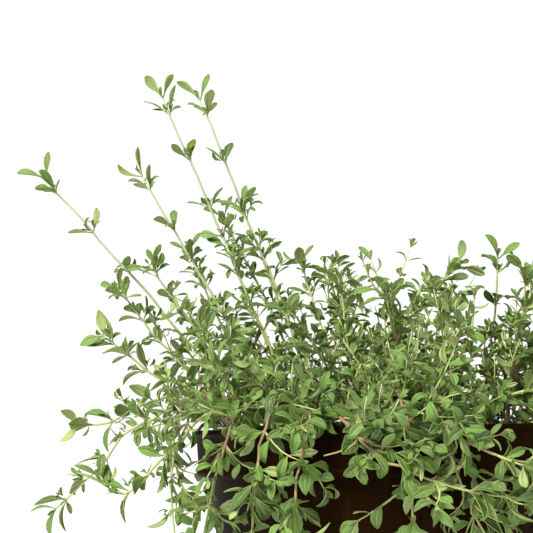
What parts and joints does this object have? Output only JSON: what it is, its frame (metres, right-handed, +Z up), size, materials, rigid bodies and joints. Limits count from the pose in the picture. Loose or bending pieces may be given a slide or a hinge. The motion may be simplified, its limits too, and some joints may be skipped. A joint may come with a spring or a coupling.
{
  "type": "potted thyme",
  "caption": "Bushy thyme plant in a tapered plastic nursery pot, with upright sprigs, a low leafy cushion and stems that trail over the rim.",
  "frame": {"origin": "middle of the flat pad on the pot's underside, on the surface that the pot stands on", "axes": "+Z up; -Y towards the viewer of the pictured side; +X to that viewer's right"},
  "size_m": [0.2584, 0.2224, 0.3119],
  "materials": {
    "pot_plastic": "dark brown, half matte, with a soft sheen at grazing angles",
    "soil": "dark crumbly potting mix, matt",
    "foliage": "soft matt green leaves with a pale midrib, on green to mauve-brown stems"
  },
  "bodies": {
    "root": {"pot": "pot_plastic", "soil": "soil", "bush_stem_01": "foliage", "bush_stem_02": "foliage", "bush_stem_03": "foliage", "bush_stem_04": "foliage", "bush_stem_05": "foliage", "bush_stem_06": "foliage", "bush_stem_07": "foliage", "bush_stem_08": "foliage", "bush_stem_09": "foliage", "bush_stem_10": "foliage", "bush_stem_11": "foliage", "bush_stem_12": "foliage", "bush_stem_13": "foliage", "bush_stem_14": "foliage", "bush_stem_15": "foliage", "bush_stem_16": "foliage", "bush_stem_17": "foliage", "bush_stem_18": "foliage", "hanging_stem_1": "foliage", "hanging_stem_2": "foliage", "hanging_stem_3": "foliage", "hanging_stem_4": "foliage", "hanging_stem_5": "foliage", "hanging_stem_6": "foliage", "hanging_stem_7": "foliage", "sprig_back_left": "foliage", "sprig_back_right": "foliage", "sprig_behind_tall": "foliage", "sprig_far_left": "foliage", "sprig_front_of_tall": "foliage", "sprig_left_back": "foliage", "sprig_left_cluster": "foliage", "sprig_left_inner": "foliage", "sprig_left_low": "foliage", "sprig_left_mid": "foliage", "sprig_mauve_back": "foliage", "sprig_mauve_front": "foliage", "sprig_mauve_right": "foliage", "sprig_right_front": "foliage", "sprig_right_outer": "foliage", "sprig_right_upright": "foliage", "sprig_tall_left": "foliage", "sprig_tall_right": "foliage", "sprig_top_middle": "foliage", "trailer_front_across": "foliage", "trailer_front_curl": "foliage", "trailer_front_drop": "foliage", "trailer_front_left": "foliage", "trailer_front_mauve": "foliage", "trailer_front_right": "foliage", "trailer_front_steep": "foliage", "trailer_left_arch": "foliage", "trailer_left_hang": "foliage", "trailer_left_high": "foliage", "trailer_left_upturn": "foliage", "trailer_left_wisp": "foliage", "trailer_right_across": "foliage", "trailer_right_reach": "foliage"}
  },
  "joints": []
}
